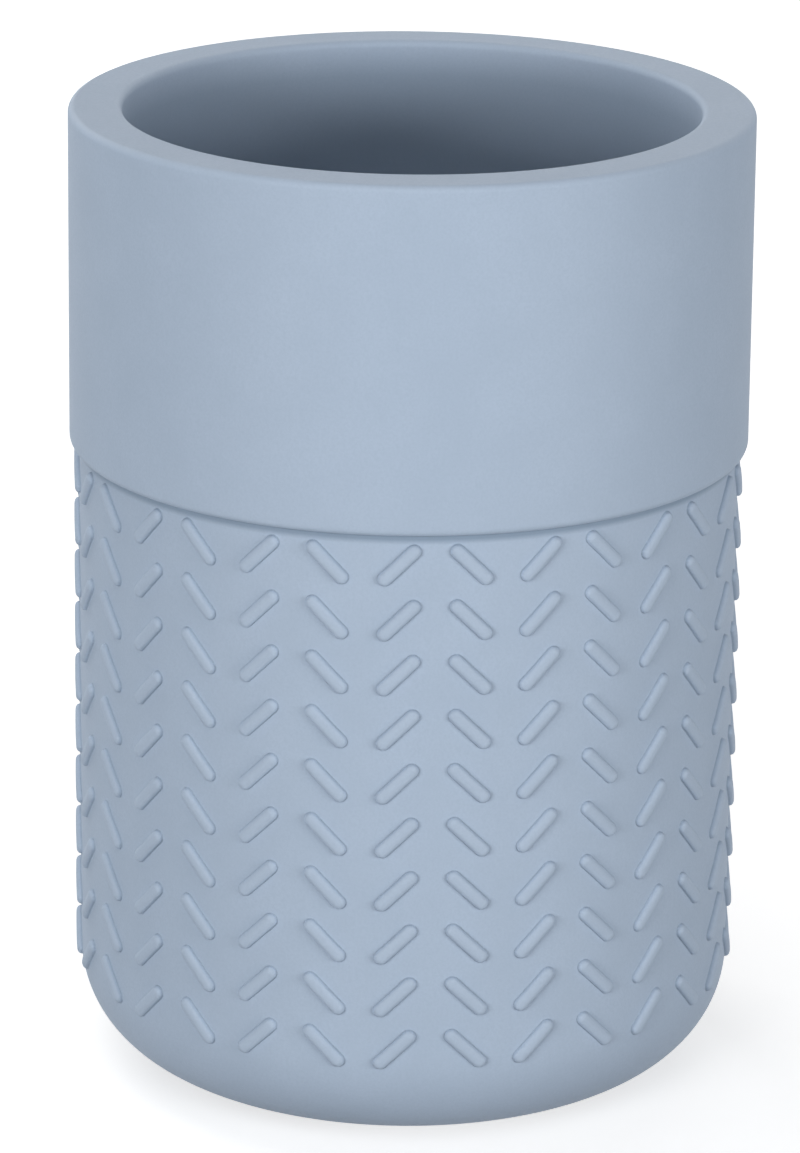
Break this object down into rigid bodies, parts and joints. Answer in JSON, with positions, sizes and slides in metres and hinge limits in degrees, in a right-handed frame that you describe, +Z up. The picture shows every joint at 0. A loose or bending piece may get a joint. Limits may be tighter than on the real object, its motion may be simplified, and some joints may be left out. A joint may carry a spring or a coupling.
{
  "type": "bathroom tumbler",
  "caption": "Cast bathroom tumbler with a smooth overhanging collar, a wall of raised herringbone dashes, a rounded foot and a foam pad under it.",
  "frame": {"origin": "centre of the pad's underside, on the surface that the tumbler stands on", "axes": "+Z up along the tumbler's axis; -Y is the front, where the middle of one pair of dash columns lies; +X to the right"},
  "size_m": [0.0752, 0.0752, 0.1096],
  "materials": {
    "soft_touch_lacquer": "matte soft-touch blue-grey lacquer over filled cast resin",
    "foam": "matte closed-cell foam",
    "adhesive_film": "double-sided acrylic film"
  },
  "bodies": {
    "root": {"tumbler_body": "soft_touch_lacquer", "base_pad": "foam", "pad_adhesive": "adhesive_film"}
  },
  "joints": []
}
